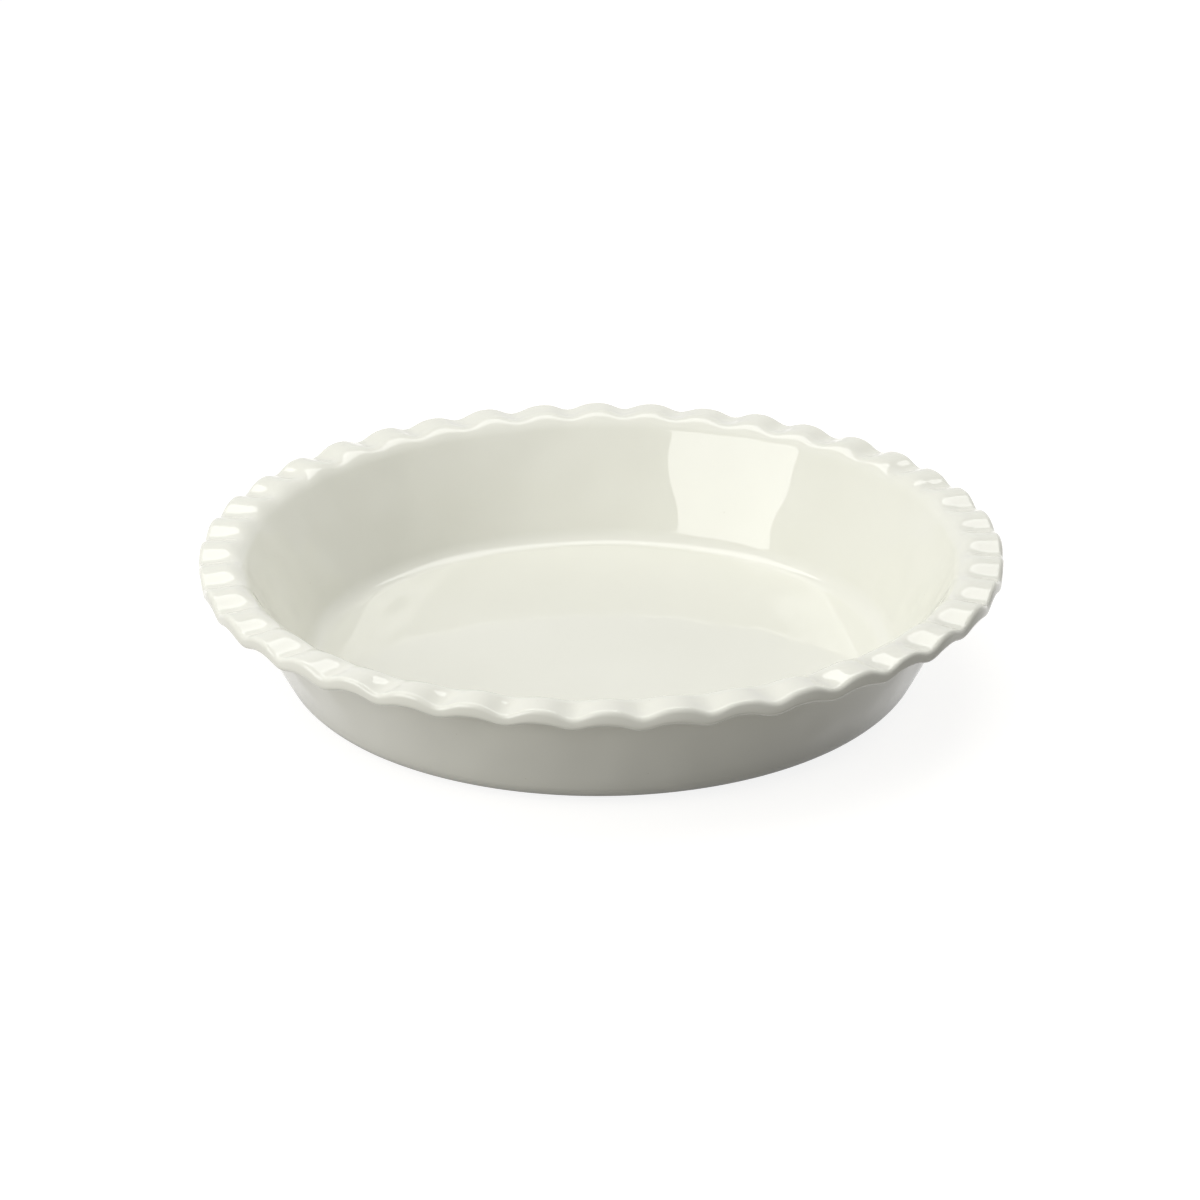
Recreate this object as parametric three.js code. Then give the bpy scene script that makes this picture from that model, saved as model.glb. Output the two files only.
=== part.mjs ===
// Fluted tart dish: a stoneware body with a dry foot ring, a coat of glaze over the rest of it,
// and a round panel of glaze inside the foot ring.
// Millimetres, +Z up. The origin is the middle of the plane that the foot ring stands on.

import * as THREE from 'three';

// Overall form, measured on the glazed surface
const FLOOR_RADIUS = 117.5;
const FLOOR_HEIGHT = 6.5;
const DISH_HEIGHT = 56;
const WALL_LEAN_DEGREES = 27.9;
const OUTSIDE_LEAN_DEGREES = 25.6;
const RIM_THICKNESS = 6;
const INNER_CORNER_RADIUS = 10.6;
const BOTTOM_EDGE_RADIUS = 13.6;

// Rim: a rounding that turns the wall outwards, then a land that ends in the fluted lip
const RIM_ROUNDING_RADIUS = 11;
const RIM_LAND_WIDTH = 9.65;
const LIP_EDGE_RADIUS = 2;

// Flutes: grooves that deepen over the rounding and run level to the lip, with shallower ones below.
// A groove is half deep at a distance from the lip, and its run-in says how fast it deepens there.
const FLUTE_COUNT = 40;
const FLUTE_DEPTH = 2.9;
const FLUTE_HALF_DEEP_AT = 13.4;
const FLUTE_RUN_IN = 1.9;
const LOWER_FLUTE_DEPTH = 2;
const LOWER_FLUTE_HALF_DEEP_AT = 9;
const LOWER_FLUTE_RUN_IN = 1.5;
const FLUTE_CREST_FLATNESS = 0.14;

// Foot ring and glaze
const FOOT_HEIGHT = 1.9;
const FOOT_INSET = 7;
const FOOT_WIDTH = 5;
const FOOT_CHAMFER = 0.8;
const GLAZE_THICKNESS = 0.5;
const PANEL_CLEARANCE = 0.3;

// Colours and finish
const GLAZE_COLOUR = 0xf3f2e6;
const GLAZE_ROUGHNESS = 0.12;
const CLAY_COLOUR = 0xd8ccb6;
const CLAY_ROUGHNESS = 0.9;

// Fineness of the facets
const PLAIN_SEGMENTS = 80;
const SEGMENTS_PER_FLUTE = 6;
const FLUTED_SEGMENTS = FLUTE_COUNT * SEGMENTS_PER_FLUTE;
const CORNER_STEPS = 3;
const ROUNDING_STEPS = 4;
const SHALLOWEST_GROOVE = 0.4;

// Most of a lip's thickness that one rounded edge may take
const LIP_EDGE_SHARE = 0.45;

// Worked-out places
const lean = THREE.MathUtils.degToRad(WALL_LEAN_DEGREES);
const outsideLean = THREE.MathUtils.degToRad(OUTSIDE_LEAN_DEGREES);
const underRimRadius = RIM_ROUNDING_RADIUS - RIM_THICKNESS;
const roundingCentre = {
  z: DISH_HEIGHT - RIM_ROUNDING_RADIUS,
  r: innerWallRadius(DISH_HEIGHT - RIM_ROUNDING_RADIUS) + RIM_ROUNDING_RADIUS / Math.cos(lean),
};
const lipRadius = roundingCentre.r + RIM_LAND_WIDTH;
const innerCornerCentre = {
  z: FLOOR_HEIGHT + INNER_CORNER_RADIUS,
  r: innerWallRadius(FLOOR_HEIGHT + INNER_CORNER_RADIUS) - INNER_CORNER_RADIUS / Math.cos(lean),
};
const bottomEdgeCentre = {
  z: FOOT_HEIGHT + BOTTOM_EDGE_RADIUS,
  r: outerWallRadius(FOOT_HEIGHT + BOTTOM_EDGE_RADIUS) - BOTTOM_EDGE_RADIUS / Math.cos(outsideLean),
};
const footOuterRadius = bottomEdgeCentre.r - FOOT_INSET;
const footInnerRadius = footOuterRadius - FOOT_WIDTH;

function innerWallRadius(z) {
  return FLOOR_RADIUS + (z - FLOOR_HEIGHT) * Math.tan(lean);
}

// The outside is steeper than the inside, so the wall thickens towards the bottom
function outerWallRadius(z) {
  const radiusUnderRim = roundingCentre.r - underRimRadius / Math.cos(outsideLean);
  return radiusUnderRim + (z - roundingCentre.z) * Math.tan(outsideLean);
}

// How far a valley lies below a crest at a radius: nothing far inside the lip, the whole depth near it
function grooveDepth(r, depth, halfDeepAt, runIn) {
  return depth / (1 + Math.exp((lipRadius - halfDeepAt - r) / runIn));
}

function upperGroove(r) {
  return grooveDepth(r, FLUTE_DEPTH, FLUTE_HALF_DEEP_AT, FLUTE_RUN_IN);
}

function lowerGroove(r) {
  return grooveDepth(r, LOWER_FLUTE_DEPTH, LOWER_FLUTE_HALF_DEEP_AT, LOWER_FLUTE_RUN_IN);
}

// Share of a groove's depth at an angle: 0 on a crest, 1 in a valley; crests are broad, valleys narrow
function fluteShare(angle) {
  const phase = FLUTE_COUNT * angle;
  return (1 - Math.cos(phase)) / 2 - FLUTE_CREST_FLATNESS * Math.sin(phase) ** 2;
}

// A ring is a closed loop of points around the axis; section(angle) gives its radius and height
function ring(count, section) {
  const points = [];
  for (let i = 0; i < count; i += 1) {
    const angle = (2 * Math.PI * i) / count;
    const { r, z } = section(angle);
    points.push(new THREE.Vector3(r * Math.cos(angle), r * Math.sin(angle), z));
  }
  return points;
}

function plainRing(r, z) {
  return ring(PLAIN_SEGMENTS, () => ({ r, z }));
}

// A ring whose valleys lie below its crests; where the groove is very shallow, the ring is plain
function flutedRing(r, z, groove) {
  if (groove < SHALLOWEST_GROOVE) return plainRing(r, z);
  return ring(FLUTED_SEGMENTS, (angle) => ({ r, z: z - groove * fluteShare(angle) }));
}

function axisPoint(z) {
  return [new THREE.Vector3(0, 0, z)];
}

// Rings along an arc of the section, from one direction to another, both ends included.
// A direction is an angle from +r towards +z; groove(direction) is the depth of a flute there.
function arcRings(centre, radius, from, to, steps, groove = () => 0) {
  const rings = [];
  for (let i = 0; i <= steps; i += 1) {
    const direction = from + ((to - from) * i) / steps;
    const r = centre.r + radius * Math.cos(direction);
    const z = centre.z + radius * Math.sin(direction);
    rings.push(flutedRing(r, z, groove(direction)));
  }
  return rings;
}

// The four rings of the fluted lip: top, upper edge, lower edge and underside
function lipRings(inset) {
  const levels = (angle) => {
    const share = fluteShare(angle);
    const top = DISH_HEIGHT - FLUTE_DEPTH * share;
    const bottom = DISH_HEIGHT - RIM_THICKNESS - LOWER_FLUTE_DEPTH * share;
    const edge = Math.min(LIP_EDGE_RADIUS, LIP_EDGE_SHARE * (top - bottom));
    return { top, bottom, edge };
  };
  const outside = lipRadius - inset;
  return [
    ring(FLUTED_SEGMENTS, (angle) => {
      const { top, edge } = levels(angle);
      return { r: lipRadius - edge, z: top - inset };
    }),
    ring(FLUTED_SEGMENTS, (angle) => {
      const { top, edge } = levels(angle);
      return { r: outside, z: top - edge };
    }),
    ring(FLUTED_SEGMENTS, (angle) => {
      const { bottom, edge } = levels(angle);
      return { r: outside, z: bottom + edge };
    }),
    ring(FLUTED_SEGMENTS, (angle) => {
      const { bottom, edge } = levels(angle);
      return { r: lipRadius - edge, z: bottom + inset };
    }),
  ];
}

// The dish's surface at a depth below the glaze, from the middle of the floor, over the rim and
// down to the outside of the foot ring
function dishRings(inset) {
  const up = Math.PI / 2;
  const down = -Math.PI / 2;
  const innerCorner = INNER_CORNER_RADIUS + inset;
  const rounding = RIM_ROUNDING_RADIUS - inset;
  const underRim = underRimRadius + inset;
  const bottomEdge = BOTTOM_EDGE_RADIUS - inset;
  const upper = (direction) => upperGroove(roundingCentre.r + RIM_ROUNDING_RADIUS * Math.cos(direction));
  const lower = (direction) => lowerGroove(roundingCentre.r + underRimRadius * Math.cos(direction));
  return [
    axisPoint(FLOOR_HEIGHT - inset),
    ...arcRings(innerCornerCentre, innerCorner, down, -lean, CORNER_STEPS),
    ...arcRings(roundingCentre, rounding, Math.PI - lean, up, ROUNDING_STEPS, upper),
    ...lipRings(inset),
    ...arcRings(roundingCentre, underRim, up, Math.PI - outsideLean, CORNER_STEPS, lower),
    ...arcRings(bottomEdgeCentre, bottomEdge, -outsideLean, down, CORNER_STEPS),
    plainRing(footOuterRadius, FOOT_HEIGHT + inset),
  ];
}

// A closed mesh that is stitched from rings; a ring that comes back keeps its points
class RingMesh {
  constructor() {
    this.positions = [];
    this.triangles = [];
    this.starts = new Map();
  }

  start(points) {
    if (!this.starts.has(points)) {
      this.starts.set(points, this.positions.length / 3);
      points.forEach((point) => this.positions.push(point.x, point.y, point.z));
    }
    return this.starts.get(points);
  }

  // Joins two rings with triangles. They face out of the solid when the rings run from the middle of
  // the floor over the rim to the foot; reversed turns the same triangles over.
  stitch(first, second, reversed) {
    const steps = Math.max(first.length, second.length);
    const index = (points, i) => {
      const nearest = Math.round((i * points.length) / steps) % points.length;
      return this.start(points) + nearest;
    };
    for (let i = 0; i < steps; i += 1) {
      const a = index(first, i);
      const aNext = index(first, i + 1);
      const b = index(second, i);
      const bNext = index(second, i + 1);
      if (b !== bNext) this.face(a, b, bNext, reversed);
      if (a !== aNext) this.face(a, bNext, aNext, reversed);
    }
  }

  face(a, b, c, reversed) {
    if (reversed) this.triangles.push(a, c, b);
    else this.triangles.push(a, b, c);
  }

  loft(rings, reversed = false) {
    for (let i = 1; i < rings.length; i += 1) this.stitch(rings[i - 1], rings[i], reversed);
  }

  geometry() {
    const geometry = new THREE.BufferGeometry();
    geometry.setAttribute('position', new THREE.Float32BufferAttribute(this.positions, 3));
    geometry.setIndex(this.triangles);
    geometry.computeVertexNormals();
    return geometry;
  }
}

const glazeSurface = dishRings(0);
const claySurface = dishRings(GLAZE_THICKNESS);
const undersideClayHeight = FOOT_HEIGHT + GLAZE_THICKNESS;

function stonewareBody() {
  const mesh = new RingMesh();
  mesh.loft([
    ...claySurface,
    plainRing(footOuterRadius, FOOT_CHAMFER),
    plainRing(footOuterRadius - FOOT_CHAMFER, 0),
    plainRing(footInnerRadius + FOOT_CHAMFER, 0),
    plainRing(footInnerRadius, FOOT_CHAMFER),
    plainRing(footInnerRadius, undersideClayHeight),
    axisPoint(undersideClayHeight),
  ]);
  return named('stoneware_body', mesh, matter(CLAY_COLOUR, CLAY_ROUGHNESS));
}

function glazeCoat() {
  const mesh = new RingMesh();
  mesh.loft(glazeSurface);
  mesh.loft([glazeSurface.at(-1), claySurface.at(-1)]);
  mesh.loft(claySurface, true);
  return named('glaze_coat', mesh, matter(GLAZE_COLOUR, GLAZE_ROUGHNESS));
}

function undersideGlaze() {
  const radius = footInnerRadius - PANEL_CLEARANCE;
  const mesh = new RingMesh();
  mesh.loft([
    axisPoint(undersideClayHeight),
    plainRing(radius, undersideClayHeight),
    plainRing(radius, FOOT_HEIGHT),
    axisPoint(FOOT_HEIGHT),
  ]);
  return named('underside_glaze', mesh, matter(GLAZE_COLOUR, GLAZE_ROUGHNESS));
}

function matter(color, roughness) {
  return new THREE.MeshStandardMaterial({ color, roughness, metalness: 0 });
}

function named(name, ringMesh, material) {
  const mesh = new THREE.Mesh(ringMesh.geometry(), material);
  mesh.name = name;
  return mesh;
}

const tartDish = new THREE.Group();
tartDish.name = 'tart_dish';
tartDish.add(stonewareBody(), glazeCoat(), undersideGlaze());

export default tartDish;
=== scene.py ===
import math

import bpy
import numpy as np
from mathutils import Matrix, Vector, noise


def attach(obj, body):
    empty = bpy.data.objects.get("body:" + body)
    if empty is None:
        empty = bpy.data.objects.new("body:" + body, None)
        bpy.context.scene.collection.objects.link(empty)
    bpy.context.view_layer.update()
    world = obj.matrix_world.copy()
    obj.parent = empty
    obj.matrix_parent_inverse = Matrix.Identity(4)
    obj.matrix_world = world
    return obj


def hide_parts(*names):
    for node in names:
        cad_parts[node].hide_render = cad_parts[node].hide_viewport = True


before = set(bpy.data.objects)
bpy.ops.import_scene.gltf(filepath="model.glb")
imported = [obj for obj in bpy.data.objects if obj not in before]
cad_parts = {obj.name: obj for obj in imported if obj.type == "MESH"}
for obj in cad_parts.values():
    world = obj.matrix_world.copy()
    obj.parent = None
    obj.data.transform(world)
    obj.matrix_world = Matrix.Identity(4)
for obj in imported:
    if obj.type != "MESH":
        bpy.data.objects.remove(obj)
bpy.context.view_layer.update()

MM = 0.001

# Overall form of the dish, measured on the glazed surface
FLOOR_RADIUS = 117.5 * MM
FLOOR_HEIGHT = 6.5 * MM
DISH_HEIGHT = 56 * MM
WALL_LEAN = math.radians(27.9)
OUTSIDE_LEAN = math.radians(25.6)
RIM_THICKNESS = 6 * MM
INNER_CORNER_RADIUS = 10.6 * MM
BOTTOM_EDGE_RADIUS = 13.6 * MM

# Rim: a rounding that turns the wall outwards, then a land that ends in the fluted lip
RIM_ROUNDING_RADIUS = 11 * MM
RIM_LAND_WIDTH = 9.65 * MM
LIP_EDGE_RADIUS = 2 * MM

# Flutes: grooves that deepen over the rounding and run level to the lip, with shallower ones below.
# A groove is half deep at a distance from the lip, and its run-in says how fast it deepens there.
FLUTE_COUNT = 40
FLUTE_DEPTH = 2.9 * MM
FLUTE_HALF_DEEP_AT = 13.4 * MM
FLUTE_RUN_IN = 1.9 * MM
LOWER_FLUTE_DEPTH = 2 * MM
LOWER_FLUTE_HALF_DEEP_AT = 9 * MM
LOWER_FLUTE_RUN_IN = 1.5 * MM
FLUTE_CREST_FLATNESS = 0.14

# Foot ring and glaze
FOOT_HEIGHT = 1.9 * MM
FOOT_INSET = 7 * MM
FOOT_WIDTH = 5 * MM
FOOT_EDGE_RADIUS = 0.8 * MM
GLAZE_THICKNESS = 0.5 * MM
GLAZE_LINE_GAP = 0.15 * MM
PANEL_CLEARANCE = 0.3 * MM

# Slow unevenness of the fired glaze, as a wave length and a height; the floor is smoother
WAVE_LENGTH = 19 * MM
WAVE_HEIGHT = 0.7 * MM
FLOOR_WAVE_SHARE = 0.08
SMALLEST_LENGTH = 1e-12

# Fineness of the meshes: segments round the dish, and steps on each stretch of a section.
# The glaze's surface has more steps than its back and the clay, by the factor of its detail.
SEGMENTS_PER_FLUTE = 14
FLOOR_STEPS = 2
CORNER_STEPS = 4
WALL_STEPS = 3
ROUNDING_STEPS = 7
LAND_STEPS = 3
LIP_EDGE_STEPS = 2
OUTSIDE_STEPS = 2
BOTTOM_EDGE_STEPS = 3
SURFACE_DETAIL = 4
BACK_DETAIL = 1
FLAT_STEPS = 5
BEAD_STEPS = 5
GLAZE_BACK_STEPS = 2
FOOT_SIDE_STEPS = 4
FOOT_EDGE_STEPS = 5
FOOT_FACE_STEPS = 6
CLAY_PANEL_STEPS = 8
PANEL_BACK_STEPS = 4
PANEL_BEAD_STEPS = 6
PANEL_STEPS = 24
SEGMENTS = FLUTE_COUNT * SEGMENTS_PER_FLUTE
ANGLES = np.arange(SEGMENTS) * (2 * math.pi / SEGMENTS)

# Glaze. Noise sizes are in cells per metre.
GLAZE_COLOUR = (0.84, 0.838, 0.752)
GLAZE_SHADE = (0.822, 0.82, 0.73)
SHADE_ENDS = 0.3
COLOUR_STARTS = 0.7
GLAZE_CLOUDS = 14.0
GLAZE_INDEX = 1.5
GLAZE_GLOSS = (0.015, 0.035)
GLOSS_PATCHES = 60.0
PEEL_GRAIN = 240.0
PEEL_STRENGTH = 0.06
PEEL_HEIGHT = 0.1 * MM
PINHOLE_COLOUR = (0.66, 0.63, 0.53)
PINHOLE_STRENGTH = 0.5
PINHOLE_DEPTH = 0.05 * MM
PINHOLE_SPACING = 5 * MM
PINHOLE_RADIUS = 0.25 * MM
PINHOLE_SHARE = 0.06

# Bare clay
CLAY_COLOUR = (0.7, 0.6, 0.46)
CLAY_SHADE = (0.58, 0.47, 0.34)
CLAY_STAINS = 45.0
CLAY_ROUGHNESS = (0.8, 1.0)
SAND_GRAIN = 1600.0
SAND_STRENGTH = 0.6
SAND_HEIGHT = 0.2 * MM
SPECK_COLOUR = (0.36, 0.27, 0.18)
SPECK_GRAIN = 900.0
SPECK_STRENGTH = 0.6
SPECK_STARTS = 0.66
SPECK_FULL = 0.72
GRINDING_LINES = 2600.0
GRINDING_STRENGTH = 0.5
GRINDING_HEIGHT = 0.12 * MM

# Studio, in metres: a floor, a grey card behind the dish and an even light from all around.
# The glaze sees a painted shadow on the floor: the floor's glow fades out below the dish, up to the edge
# of its shadow.
FLOOR_COLOUR = (0.29, 0.28, 0.257)
FLOOR_GLOW = 0.86
FLOOR_SIDE = 16.0
FLOOR_LEVEL = -0.1 * MM
PAINTED_SHADOW_CORE = 112 * MM
PAINTED_SHADOW_EDGE = 134 * MM
AMBIENT = 0.24
CARD_DISTANCE = 1.4
CARD_WIDTH = 3.2
CARD_LOW = 0.25
CARD_HIGH = 0.95
CARD_GLOW = 0.8

# Soft panels: azimuth and elevation in degrees, distance, width and height in metres, radiance, and
# whether the glaze mirrors the panel. Azimuth 0 is in front of the dish and 90 on its right.
LAMPS = {
    "key": (-57, 32, 1.3, 0.9, 0.74, 3.35, True),
    "strip": (180, 61, 1.5, 1.4, 0.6, 2.6, True),
    "top": (0, 89, 1.5, 1.2, 1.2, 1.65, False),
    "left": (-40, 15, 1.5, 1.0, 0.7, 1.65, False),
    "back": (138, 15, 1.5, 1.0, 0.4, 4.3, False),
}

# Camera, at the photograph's viewpoint: lens in millimetres, place in metres, angles in radians
CAMERA_LENS = 100
CAMERA_SENSOR = 36
CAMERA_REACH = 50
CAMERA_PLACE = (0, -1.2293, 0.5665)
CAMERA_TURN = -0.0123
CAMERA_PAN = 0.0004
CAMERA_PITCH = -0.4116
CAMERA_ROLL = -0.0064

# Places that follow from these sizes
UP = math.pi / 2
DOWN = -math.pi / 2


def inner_wall_radius(z):
    return FLOOR_RADIUS + (z - FLOOR_HEIGHT) * math.tan(WALL_LEAN)


def outer_wall_radius(z):
    """The outside is steeper than the inside, so the wall thickens towards the bottom."""
    under_rim = rounding_r - under_rim_radius / math.cos(OUTSIDE_LEAN)
    return under_rim + (z - rounding_z) * math.tan(OUTSIDE_LEAN)


rounding_z = DISH_HEIGHT - RIM_ROUNDING_RADIUS
rounding_r = inner_wall_radius(rounding_z) + RIM_ROUNDING_RADIUS / math.cos(WALL_LEAN)
lip_radius = rounding_r + RIM_LAND_WIDTH
under_rim_radius = RIM_ROUNDING_RADIUS - RIM_THICKNESS
inner_corner_z = FLOOR_HEIGHT + INNER_CORNER_RADIUS
inner_corner_r = inner_wall_radius(inner_corner_z) - INNER_CORNER_RADIUS / math.cos(WALL_LEAN)
bottom_edge_z = FOOT_HEIGHT + BOTTOM_EDGE_RADIUS
bottom_edge_r = outer_wall_radius(bottom_edge_z) - BOTTOM_EDGE_RADIUS / math.cos(OUTSIDE_LEAN)
foot_outer_radius = bottom_edge_r - FOOT_INSET
foot_inner_radius = foot_outer_radius - FOOT_WIDTH
clay_underside = FOOT_HEIGHT + GLAZE_THICKNESS
lip_edge_r = lip_radius - LIP_EDGE_RADIUS
lip_bottom = DISH_HEIGHT - RIM_THICKNESS


# Sections. A section is an array of stations, each with a radius, a height and the drop of a valley
# below a crest. The stations run from the middle of the floor, over the rim, to the foot.

def groove(r, depth, half_deep_at, run_in):
    """How far a valley lies below a crest: nothing far inside the lip, the whole depth near it."""
    return depth / (1 + np.exp((lip_radius - half_deep_at - r) / run_in))


def upper_groove(r):
    return groove(r, FLUTE_DEPTH, FLUTE_HALF_DEEP_AT, FLUTE_RUN_IN)


def lower_groove(r):
    return groove(r, LOWER_FLUTE_DEPTH, LOWER_FLUTE_HALF_DEEP_AT, LOWER_FLUTE_RUN_IN)


def stations(r, z):
    r, z, drop = np.broadcast_arrays(np.atleast_1d(r).astype(float), z, 0.0)
    return np.stack([r, z, drop], axis=1)


def line(r0, z0, r1, z1, steps):
    """Stations on a straight stretch, without its end."""
    t = np.arange(steps) / steps
    return stations(r0 + (r1 - r0) * t, z0 + (z1 - z0) * t)


def arc(r, z, radius, start, end, steps):
    """Stations on an arc about a centre, without its end; directions run from +r towards +z."""
    directions = start + (end - start) * np.arange(steps) / steps
    return stations(r + radius * np.cos(directions), z + radius * np.sin(directions))


def inside_section(inset, detail):
    """The floor, the inner corner, the wall and the top of the rim, to the lip's upper edge."""
    corner = INNER_CORNER_RADIUS + inset
    rounding = RIM_ROUNDING_RADIUS - inset
    floor = FLOOR_HEIGHT - inset
    top = DISH_HEIGHT - inset
    corner_end_r = inner_corner_r + corner * math.cos(WALL_LEAN)
    corner_end_z = inner_corner_z - corner * math.sin(WALL_LEAN)
    rounding_start_r = rounding_r - rounding * math.cos(WALL_LEAN)
    rounding_start_z = rounding_z + rounding * math.sin(WALL_LEAN)
    lip_edge = LIP_EDGE_RADIUS - inset
    section = np.concatenate([
        line(0, floor, inner_corner_r, floor, FLOOR_STEPS * detail),
        arc(inner_corner_r, inner_corner_z, corner, DOWN, -WALL_LEAN, CORNER_STEPS * detail),
        line(corner_end_r, corner_end_z, rounding_start_r, rounding_start_z, WALL_STEPS * detail),
        arc(rounding_r, rounding_z, rounding, math.pi - WALL_LEAN, UP, ROUNDING_STEPS * detail),
        line(rounding_r, top, lip_edge_r, top, LAND_STEPS * detail),
        arc(lip_edge_r, DISH_HEIGHT - LIP_EDGE_RADIUS, lip_edge, UP, 0, LIP_EDGE_STEPS * detail),
    ])
    section[:, 2] = upper_groove(section[:, 0])
    return section


def outside_section(inset, detail):
    """The lip's lower edge and underside, the outer wall and the bottom edge, to the foot's flat."""
    under_rim = under_rim_radius + inset
    bottom_edge = BOTTOM_EDGE_RADIUS - inset
    under_rim_end_r = rounding_r - under_rim * math.cos(OUTSIDE_LEAN)
    under_rim_end_z = rounding_z + under_rim * math.sin(OUTSIDE_LEAN)
    edge_start_r = bottom_edge_r + bottom_edge * math.cos(OUTSIDE_LEAN)
    edge_start_z = bottom_edge_z - bottom_edge * math.sin(OUTSIDE_LEAN)
    lip_edge = LIP_EDGE_RADIUS - inset
    section = np.concatenate([
        arc(lip_edge_r, lip_bottom + LIP_EDGE_RADIUS, lip_edge, 0, DOWN, LIP_EDGE_STEPS * detail),
        line(lip_edge_r, lip_bottom + inset, rounding_r, lip_bottom + inset, OUTSIDE_STEPS * detail),
        arc(rounding_r, rounding_z, under_rim, UP, math.pi - OUTSIDE_LEAN, OUTSIDE_STEPS * detail),
        line(under_rim_end_r, under_rim_end_z, edge_start_r, edge_start_z, OUTSIDE_STEPS * detail),
        arc(bottom_edge_r, bottom_edge_z, bottom_edge, -OUTSIDE_LEAN, DOWN, BOTTOM_EDGE_STEPS * detail),
    ])
    section[:, 2] = lower_groove(section[:, 0])
    return section


def dish_section(inset, detail):
    return np.concatenate([inside_section(inset, detail), outside_section(inset, detail)])


# Meshes. A mesh is made of rings of points; its first and last rings lie on the axis.

def flute_share(angle):
    """Depth of a flute at an angle, from 0 on a crest to 1 in a valley."""
    phase = FLUTE_COUNT * angle
    return (1 - np.cos(phase)) / 2 - FLUTE_CREST_FLATNESS * np.sin(phase) ** 2


def unevenness(points, reach):
    """How far rings of points move along their normals in a slow noise, with a reach for each ring."""
    along = np.gradient(points, axis=0)
    around = np.roll(points, -1, axis=1) - np.roll(points, 1, axis=1)
    normals = np.cross(along, around)
    normals /= np.maximum(np.linalg.norm(normals, axis=2, keepdims=True), SMALLEST_LENGTH)
    shift = np.array([[noise.noise(Vector(p) / WAVE_LENGTH) for p in ring] for ring in points])
    return normals * (shift * reach[:, None] * WAVE_HEIGHT)[:, :, None]


def ring_points(section):
    """A ring of points for each station. The wall is uneven, the floor less so, and the foot is even."""
    r, z, drop = (section[:, i, None] for i in range(3))
    height = z - drop * flute_share(ANGLES)
    points = np.stack([r * np.cos(ANGLES), r * np.sin(ANGLES), height], axis=2)
    levels = [clay_underside, FLOOR_HEIGHT - GLAZE_THICKNESS, inner_corner_z]
    reach = np.interp(section[:, 1], levels, [0, FLOOR_WAVE_SHARE, 1])
    return points + unevenness(points, reach)


def turned_faces(rings):
    """Quads between neighbouring rings, and a fan at each end; the axis points come last."""
    grid = np.arange(rings * SEGMENTS).reshape(rings, SEGMENTS)
    ahead = np.roll(grid, -1, axis=1)
    quads = np.stack([grid[:-1], grid[1:], ahead[1:], ahead[:-1]], axis=2).reshape(-1, 4)
    first, last = rings * SEGMENTS, rings * SEGMENTS + 1
    fans = [(first, a, b) for a, b in zip(grid[0].tolist(), ahead[0].tolist())]
    fans += [(last, b, a) for a, b in zip(grid[-1].tolist(), ahead[-1].tolist())]
    return quads.tolist() + fans


def turned(name, points):
    rings = points[1:-1]
    ends = [points[0, 0].tolist(), points[-1, 0].tolist()]
    mesh = bpy.data.meshes.new(name)
    mesh.from_pydata(rings.reshape(-1, 3).tolist() + ends, [], turned_faces(len(rings)))
    mesh.shade_smooth()
    mesh.update()
    piece = bpy.data.objects.new(name, mesh)
    bpy.context.scene.collection.objects.link(piece)
    return piece


def glaze_coat():
    """The coat of glaze: its surface, a rounded edge beside the foot ring, and its back on the clay."""
    bead = GLAZE_THICKNESS
    edge_r = foot_outer_radius + GLAZE_LINE_GAP + bead
    surface = np.concatenate([
        dish_section(0, SURFACE_DETAIL),
        line(bottom_edge_r, FOOT_HEIGHT, edge_r, FOOT_HEIGHT, FLAT_STEPS),
        arc(edge_r, clay_underside, bead, DOWN, -math.pi, BEAD_STEPS),
    ])
    back = np.concatenate([
        dish_section(GLAZE_THICKNESS, BACK_DETAIL),
        line(bottom_edge_r, clay_underside, edge_r - bead, clay_underside, GLAZE_BACK_STEPS),
        stations(edge_r - bead, clay_underside),
    ])
    return turned("dish_glaze", np.concatenate([ring_points(surface), ring_points(back)[::-1]]))


def stoneware_body():
    """The clay under the glaze, with the dry foot ring."""
    edge = FOOT_EDGE_RADIUS
    section = np.concatenate([
        dish_section(GLAZE_THICKNESS, BACK_DETAIL),
        line(bottom_edge_r, clay_underside, foot_outer_radius, clay_underside, FOOT_SIDE_STEPS),
        line(foot_outer_radius, clay_underside, foot_outer_radius, edge, FOOT_SIDE_STEPS),
        arc(foot_outer_radius - edge, edge, edge, 0, DOWN, FOOT_EDGE_STEPS),
        line(foot_outer_radius - edge, 0, foot_inner_radius + edge, 0, FOOT_FACE_STEPS),
        arc(foot_inner_radius + edge, edge, edge, DOWN, -math.pi, FOOT_EDGE_STEPS),
        line(foot_inner_radius, edge, foot_inner_radius, clay_underside, FOOT_SIDE_STEPS),
        line(foot_inner_radius, clay_underside, 0, clay_underside, CLAY_PANEL_STEPS),
        stations(0, clay_underside),
    ])
    return turned("dish_clay", ring_points(section))


def underside_glaze():
    """The panel of glaze inside the foot ring, with a rounded edge."""
    bead = GLAZE_THICKNESS
    radius = foot_inner_radius - PANEL_CLEARANCE
    section = np.concatenate([
        line(0, clay_underside, radius, clay_underside, PANEL_BACK_STEPS),
        arc(radius - bead, clay_underside, bead, 0, DOWN, PANEL_BEAD_STEPS),
        line(radius - bead, FOOT_HEIGHT, 0, FOOT_HEIGHT, PANEL_STEPS),
        stations(0, FOOT_HEIGHT),
    ])
    return turned("underside_panel", ring_points(section))


# Materials

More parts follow.
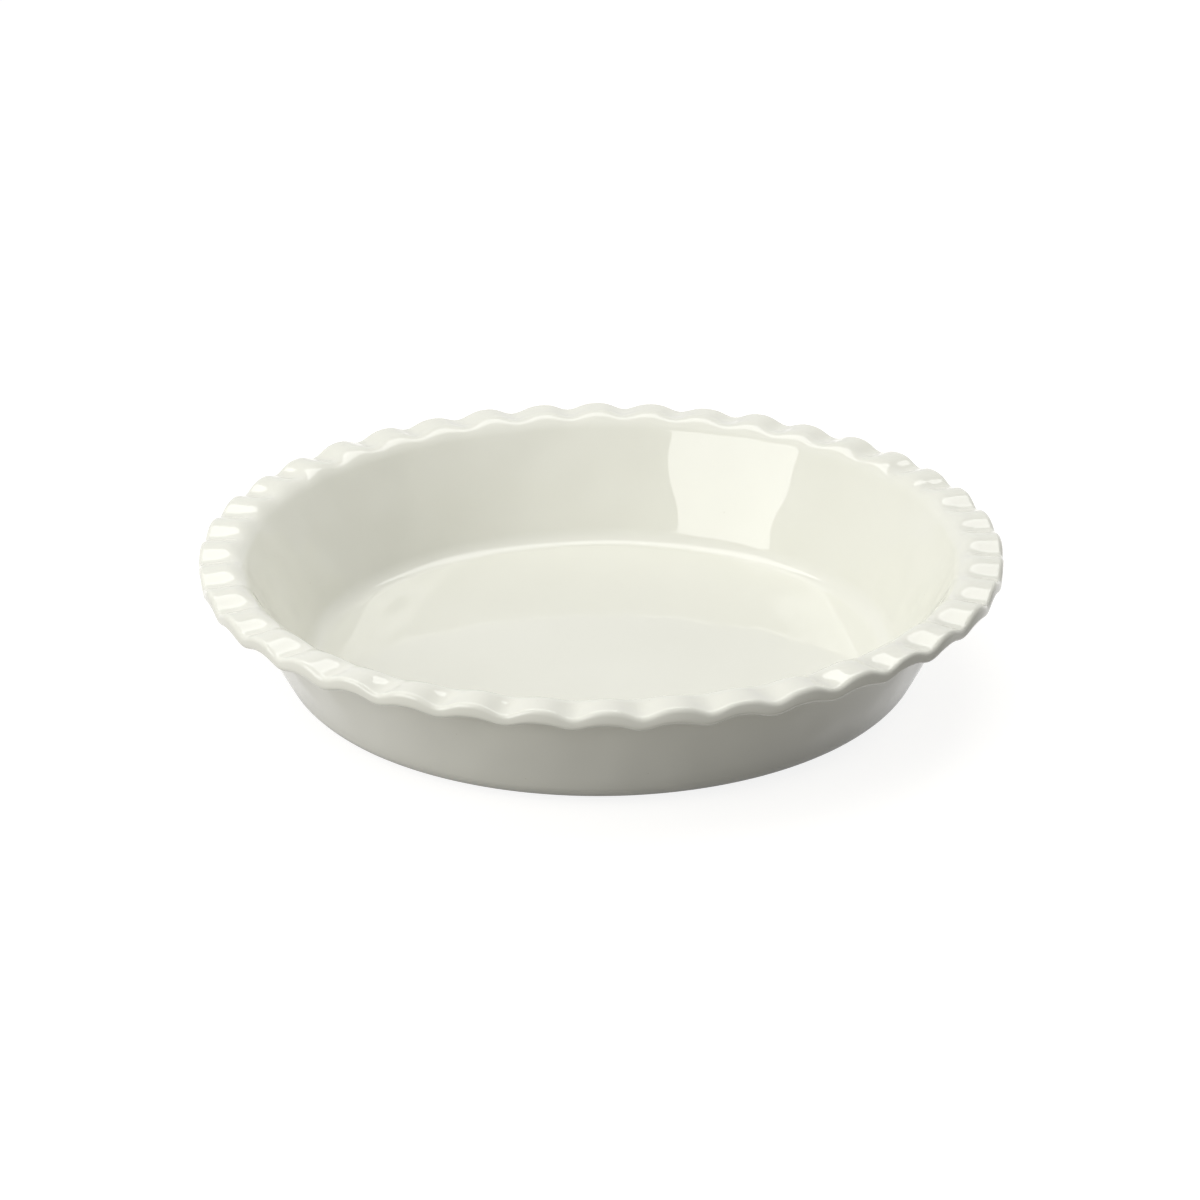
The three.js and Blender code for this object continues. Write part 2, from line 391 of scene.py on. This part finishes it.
class Nodes:
    """A short way to write node trees: values and links are given by socket name."""

    def __init__(self, tree):
        tree.nodes.clear()
        self.tree = tree

    def add(self, kind, inputs=None, **settings):
        made = self.tree.nodes.new(kind)
        for name, value in settings.items():
            setattr(made, name, value)
        for socket, value in (inputs or {}).items():
            if isinstance(value, bpy.types.NodeSocket):
                self.tree.links.new(value, made.inputs[socket])
            else:
                made.inputs[socket].default_value = value
        return made

    def noise(self, place, scale, detail=2.0, roughness=0.5):
        inputs = {"Vector": place, "Scale": scale, "Detail": detail, "Roughness": roughness}
        return self.add("ShaderNodeTexNoise", inputs).outputs["Fac"]

    def ramp(self, factor, stops):
        made = self.add("ShaderNodeValToRGB", {"Fac": factor})
        elements = made.color_ramp.elements
        while len(elements) < len(stops):
            elements.new(1.0)
        for element, (position, colour) in zip(elements, stops):
            element.position = position
            element.color = (*colour, 1)
        return made.outputs["Color"]

    def spread(self, factor, low, high, start=0.0, end=1.0):
        inputs = {"Value": factor, "From Min": start, "From Max": end, "To Min": low, "To Max": high}
        return self.add("ShaderNodeMapRange", inputs).outputs["Result"]

    def place(self):
        return self.add("ShaderNodeTexCoord").outputs["Object"]

    def distance_from_axis(self):
        flat = self.add("ShaderNodeVectorMath", {0: self.place(), 1: (1, 1, 0)}, operation="MULTIPLY")
        length = self.add("ShaderNodeVectorMath", {0: flat.outputs["Vector"]}, operation="LENGTH")
        return length.outputs["Value"]

    def math(self, operation, first, second):
        return self.add("ShaderNodeMath", {0: first, 1: second}, operation=operation).outputs[0]

    def mix(self, factor, first, second):
        inputs = {"Fac": factor, "Color1": first, "Color2": second}
        return self.add("ShaderNodeMixRGB", inputs).outputs["Color"]

    def bump(self, height, strength, distance, normal=None):
        inputs = {"Height": height, "Strength": abs(strength), "Distance": distance}
        if normal is not None:
            inputs["Normal"] = normal
        return self.add("ShaderNodeBump", inputs, invert=strength < 0).outputs["Normal"]

    def principled(self, inputs):
        shader = self.add("ShaderNodeBsdfPrincipled", inputs)
        self.add("ShaderNodeOutputMaterial", {"Surface": shader.outputs["BSDF"]})


def new_material(name):
    material = bpy.data.materials.new(name)
    material.use_nodes = True
    return material, Nodes(material.node_tree)


def glaze_material():
    """Glossy off-white glaze: faint clouds of colour, uneven gloss, a fine orange peel and pinholes."""
    material, nodes = new_material("glaze")
    place = nodes.place()
    clouds = nodes.noise(place, GLAZE_CLOUDS, 3.0)
    glaze = nodes.ramp(clouds, [(SHADE_ENDS, GLAZE_SHADE), (COLOUR_STARTS, GLAZE_COLOUR)])
    hole = pinholes(nodes, place)
    colour = nodes.mix(hole, glaze, (*PINHOLE_COLOUR, 1))
    gloss = nodes.spread(nodes.noise(place, GLOSS_PATCHES, 3.0), *GLAZE_GLOSS)
    peel = nodes.bump(nodes.noise(place, PEEL_GRAIN, 2.0), PEEL_STRENGTH, PEEL_HEIGHT)
    pits = nodes.bump(hole, -PINHOLE_STRENGTH, PINHOLE_DEPTH, peel)
    nodes.principled({"Base Color": colour, "Roughness": gloss, "IOR": GLAZE_INDEX, "Normal": pits})
    return material


def pinholes(nodes, place):
    """1 in the few cells of a fine grain that hold a pinhole, near their middles, and 0 elsewhere."""
    inputs = {"Vector": place, "Scale": 1 / PINHOLE_SPACING}
    cells = nodes.add("ShaderNodeTexVoronoi", inputs)
    reach = PINHOLE_RADIUS / PINHOLE_SPACING
    near = nodes.spread(cells.outputs["Distance"], 1.0, 0.0, 0.5 * reach, reach)
    chance = nodes.add("ShaderNodeSeparateColor", {"Color": cells.outputs["Color"]}).outputs["Red"]
    chosen = nodes.math("LESS_THAN", chance, PINHOLE_SHARE)
    return nodes.math("MULTIPLY", near, chosen)


def clay_material():
    """Dry beige stoneware: stains, dark specks, a sandy surface and rings from grinding the foot."""
    material, nodes = new_material("bare_clay")
    place = nodes.place()
    stains = nodes.noise(place, CLAY_STAINS, 5.0, 0.6)
    body = nodes.ramp(stains, [(SHADE_ENDS, CLAY_SHADE), (COLOUR_STARTS, CLAY_COLOUR)])
    grain = nodes.noise(place, SAND_GRAIN, 4.0, 0.7)
    grog = nodes.noise(place, SPECK_GRAIN, 1.0)
    speck = nodes.spread(grog, 0.0, SPECK_STRENGTH, SPECK_STARTS, SPECK_FULL)
    colour = nodes.mix(speck, body, (*SPECK_COLOUR, 1))
    inputs = {"W": nodes.distance_from_axis(), "Scale": GRINDING_LINES, "Detail": 2.0}
    grinding = nodes.add("ShaderNodeTexNoise", inputs, noise_dimensions="1D").outputs["Fac"]
    rings = nodes.bump(grinding, GRINDING_STRENGTH, GRINDING_HEIGHT)
    sand = nodes.bump(grain, SAND_STRENGTH, SAND_HEIGHT, rings)
    rough = nodes.spread(grain, *CLAY_ROUGHNESS)
    nodes.principled({"Base Color": colour, "Roughness": rough, "Normal": sand})
    return material


# Studio

def light_path_sum(nodes, mirrored=1.0):
    """1 for rays from the camera or glass, a share for mirrored rays, 0 for those that give light."""
    path = nodes.add("ShaderNodeLightPath").outputs
    glossy = nodes.math("MULTIPLY", path["Is Glossy Ray"], mirrored)
    seen = nodes.math("MAXIMUM", path["Is Camera Ray"], glossy)
    return nodes.math("MAXIMUM", seen, path["Is Transmission Ray"])


def floor_material():
    """Pale floor: a matte surface that keeps the dish's shadow, with a white glow where it is seen, and a
    painted shadow below the dish, where the glow that the glaze mirrors fades out.
    """
    material, nodes = new_material("floor")
    # Painted shadow: the glow that mirrored rays see fades out below the dish, from the core to the edge.
    outside_painted_shadow = nodes.spread(nodes.distance_from_axis(), 0.0, 1.0, PAINTED_SHADOW_CORE, PAINTED_SHADOW_EDGE)
    glow = nodes.spread(light_path_sum(nodes, outside_painted_shadow), 0.0, FLOOR_GLOW)
    matte = nodes.add("ShaderNodeBsdfDiffuse", {"Color": (*FLOOR_COLOUR, 1)})
    white = nodes.add("ShaderNodeEmission", {"Strength": glow})
    both = nodes.add("ShaderNodeAddShader", {0: matte.outputs["BSDF"], 1: white.outputs["Emission"]})
    nodes.add("ShaderNodeOutputMaterial", {"Surface": both.outputs["Shader"]})
    return material


def studio_floor():
    half = FLOOR_SIDE / 2
    corners = [(-half, -half), (half, -half), (half, half), (-half, half)]
    mesh = bpy.data.meshes.new("floor")
    mesh.from_pydata([(x, y, FLOOR_LEVEL) for x, y in corners], [], [(0, 1, 2, 3)])
    mesh.materials.append(floor_material())
    floor = bpy.data.objects.new("floor", mesh)
    bpy.context.scene.collection.objects.link(floor)


def grey_card():
    """A card behind the dish that only the glaze sees, so that the floor mirrors the rim against grey."""
    material, nodes = new_material("card")
    grey = nodes.add("ShaderNodeEmission", {"Strength": CARD_GLOW})
    nodes.add("ShaderNodeOutputMaterial", {"Surface": grey.outputs["Emission"]})
    half = CARD_WIDTH / 2
    corners = [(-half, CARD_LOW), (half, CARD_LOW), (half, CARD_HIGH), (-half, CARD_HIGH)]
    mesh = bpy.data.meshes.new("card")
    mesh.from_pydata([(x, CARD_DISTANCE, z) for x, z in corners], [], [(0, 1, 2, 3)])
    mesh.materials.append(material)
    card = bpy.data.objects.new("card", mesh)
    card.visible_camera = False
    card.visible_diffuse = False
    card.visible_shadow = False
    bpy.context.scene.collection.objects.link(card)


def studio_world():
    """White where it is seen, and a dimmer even light on the object."""
    world = bpy.data.worlds.new("studio")
    world.use_nodes = True
    bpy.context.scene.world = world
    nodes = Nodes(world.node_tree)
    strength = nodes.spread(light_path_sum(nodes), AMBIENT, 1.0)
    background = nodes.add("ShaderNodeBackground", {"Strength": strength})
    nodes.add("ShaderNodeOutputWorld", {"Surface": background.outputs["Background"]})


def softbox(name, azimuth, elevation, distance, width, height, radiance, mirrored):
    """A soft panel that faces the dish and isn't seen by the camera."""
    azimuth, elevation = math.radians(azimuth), math.radians(elevation)
    towards = Vector((
        math.sin(azimuth) * math.cos(elevation),
        -math.cos(azimuth) * math.cos(elevation),
        math.sin(elevation),
    ))
    lamp = bpy.data.lights.new(name, "AREA")
    lamp.shape = "RECTANGLE"
    lamp.size = width
    lamp.size_y = height
    lamp.energy = radiance * math.pi * width * height
    panel = bpy.data.objects.new(name, lamp)
    panel.location = towards * distance
    panel.rotation_euler = towards.to_track_quat("Z", "Y").to_euler()
    panel.visible_camera = False
    panel.visible_glossy = mirrored
    bpy.context.scene.collection.objects.link(panel)


def camera():
    """The viewer stands in front of the dish and looks down over its rim."""
    data = bpy.data.cameras.new("camera")
    data.lens = CAMERA_LENS
    data.sensor_width = CAMERA_SENSOR
    data.clip_end = CAMERA_REACH
    viewer = bpy.data.objects.new("camera", data)
    place = Matrix.Translation(Matrix.Rotation(CAMERA_TURN, 4, "Z") @ Vector(CAMERA_PLACE))
    pan = Matrix.Rotation(CAMERA_TURN + CAMERA_PAN, 4, "Z")
    pitch = Matrix.Rotation(math.pi / 2 + CAMERA_PITCH, 4, "X")
    roll = Matrix.Rotation(CAMERA_ROLL, 4, "Z")
    viewer.matrix_world = place @ pan @ pitch @ roll
    bpy.context.scene.collection.objects.link(viewer)
    bpy.context.scene.camera = viewer


def dressed(piece, node, material):
    piece.data.materials.append(material)
    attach(piece, "root")
    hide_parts(node)


glaze = glaze_material()
dressed(glaze_coat(), "glaze_coat", glaze)
dressed(underside_glaze(), "underside_glaze", glaze)
dressed(stoneware_body(), "stoneware_body", clay_material())

studio_floor()
grey_card()
studio_world()
for name, settings in LAMPS.items():
    softbox(name, *settings)
camera()

bpy.context.scene.view_settings.view_transform = "Standard"
